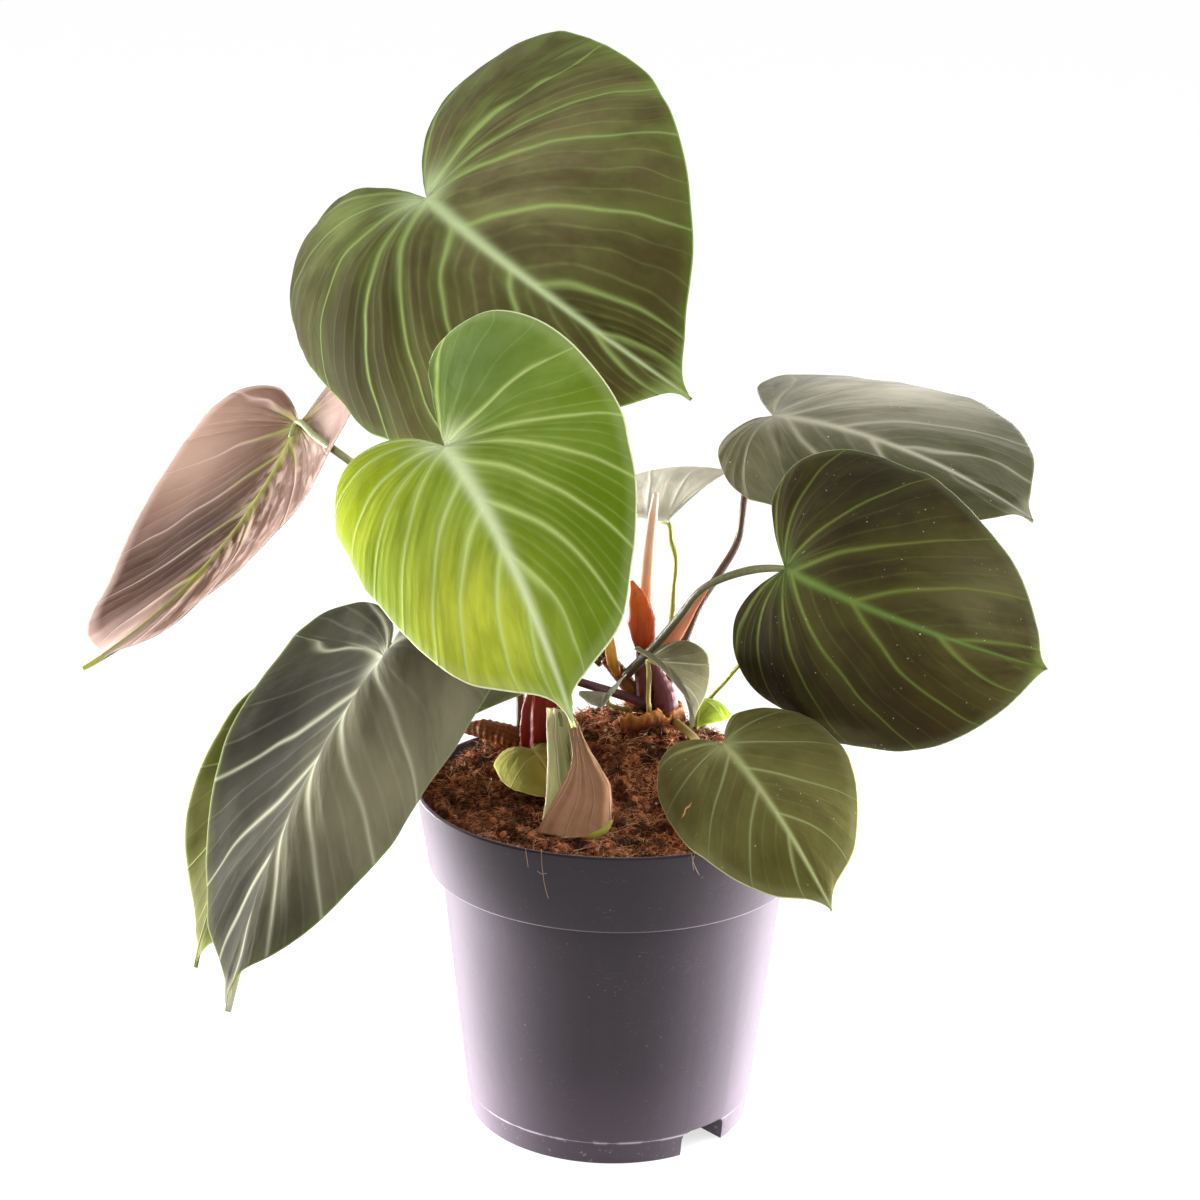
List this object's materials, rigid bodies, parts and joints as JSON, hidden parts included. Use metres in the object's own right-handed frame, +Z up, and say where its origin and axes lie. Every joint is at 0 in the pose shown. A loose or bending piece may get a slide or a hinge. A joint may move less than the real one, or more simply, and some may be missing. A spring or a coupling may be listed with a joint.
{
  "type": "potted philodendron",
  "caption": "Potted philodendron with velvety heart-shaped leaves on long stalks, an unopened leaf spike and coloured sheaths, rooted in coir in a dark nursery pot.",
  "frame": {"origin": "centre of the pot's base, on the plane that it stands on", "axes": "+Z up along the pot's axis, -Y towards the viewer of the picture, +X to that viewer's right"},
  "size_m": [0.2822, 0.2428, 0.323],
  "materials": {
    "pot_plastic": "smooth injection-moulded plastic with a low sheen, a few scuffs near the foot",
    "coir": "loose coir and peat with fine fibres and scattered white perlite",
    "purple_stem": "smooth burgundy to purple stem skin, brown-orange on its branch",
    "red_stem": "fluted dark red sheaths over a brown-orange rootstock",
    "spike_skin": "smooth salmon-orange skin with a darker core",
    "orange_sheath": "smooth orange sheath, redder in its folds",
    "salmon_sheath": "smooth salmon sheath with an orange edge",
    "yellow_sheath": "thin dry yellow-orange sheath",
    "dry_sheath": "dry brown-orange sheath, ragged at its edge",
    "tan_leaf": "pink-tan leaf underside with a green upper face",
    "brown_velvet_leaf": "velvet olive-brown leaf with pale green veins",
    "lime_leaf": "satin lime leaf with pale veins and a thin pale margin",
    "pink_underside_leaf": "matte pink-brown leaf underside with a green midrib",
    "grey_velvet_leaf": "velvet grey-green leaf with pale grey veins",
    "mid_green_leaf": "satin olive-green leaf with pale veins",
    "dark_leaf": "velvet brown-black leaf with lime veins",
    "pale_leaf": "thin translucent pale grey leaf with whitish veins"
  },
  "bodies": {
    "root": {"pot": "pot_plastic", "soil": "coir", "stem_right": "purple_stem", "stem_left": "red_stem", "new_leaf_spike": "spike_skin", "cataphyll_orange": "orange_sheath", "cataphyll_salmon": "salmon_sheath", "sheath_yellow": "yellow_sheath", "dried_sheath": "dry_sheath", "leaf_curled": "tan_leaf", "leaf_top": "brown_velvet_leaf", "leaf_front": "lime_leaf", "leaf_underside": "pink_underside_leaf", "leaf_lower_left": "grey_velvet_leaf", "leaf_behind": "mid_green_leaf", "leaf_upper_right": "grey_velvet_leaf", "leaf_right": "dark_leaf", "leaf_lower_right": "mid_green_leaf", "leaf_small_folded": "grey_velvet_leaf", "leaf_small_pale": "pale_leaf", "leaf_on_soil": "mid_green_leaf", "leaf_tiny_lime": "lime_leaf", "leaf_narrow": "pale_leaf", "leaf_hidden": "mid_green_leaf"}
  },
  "joints": []
}
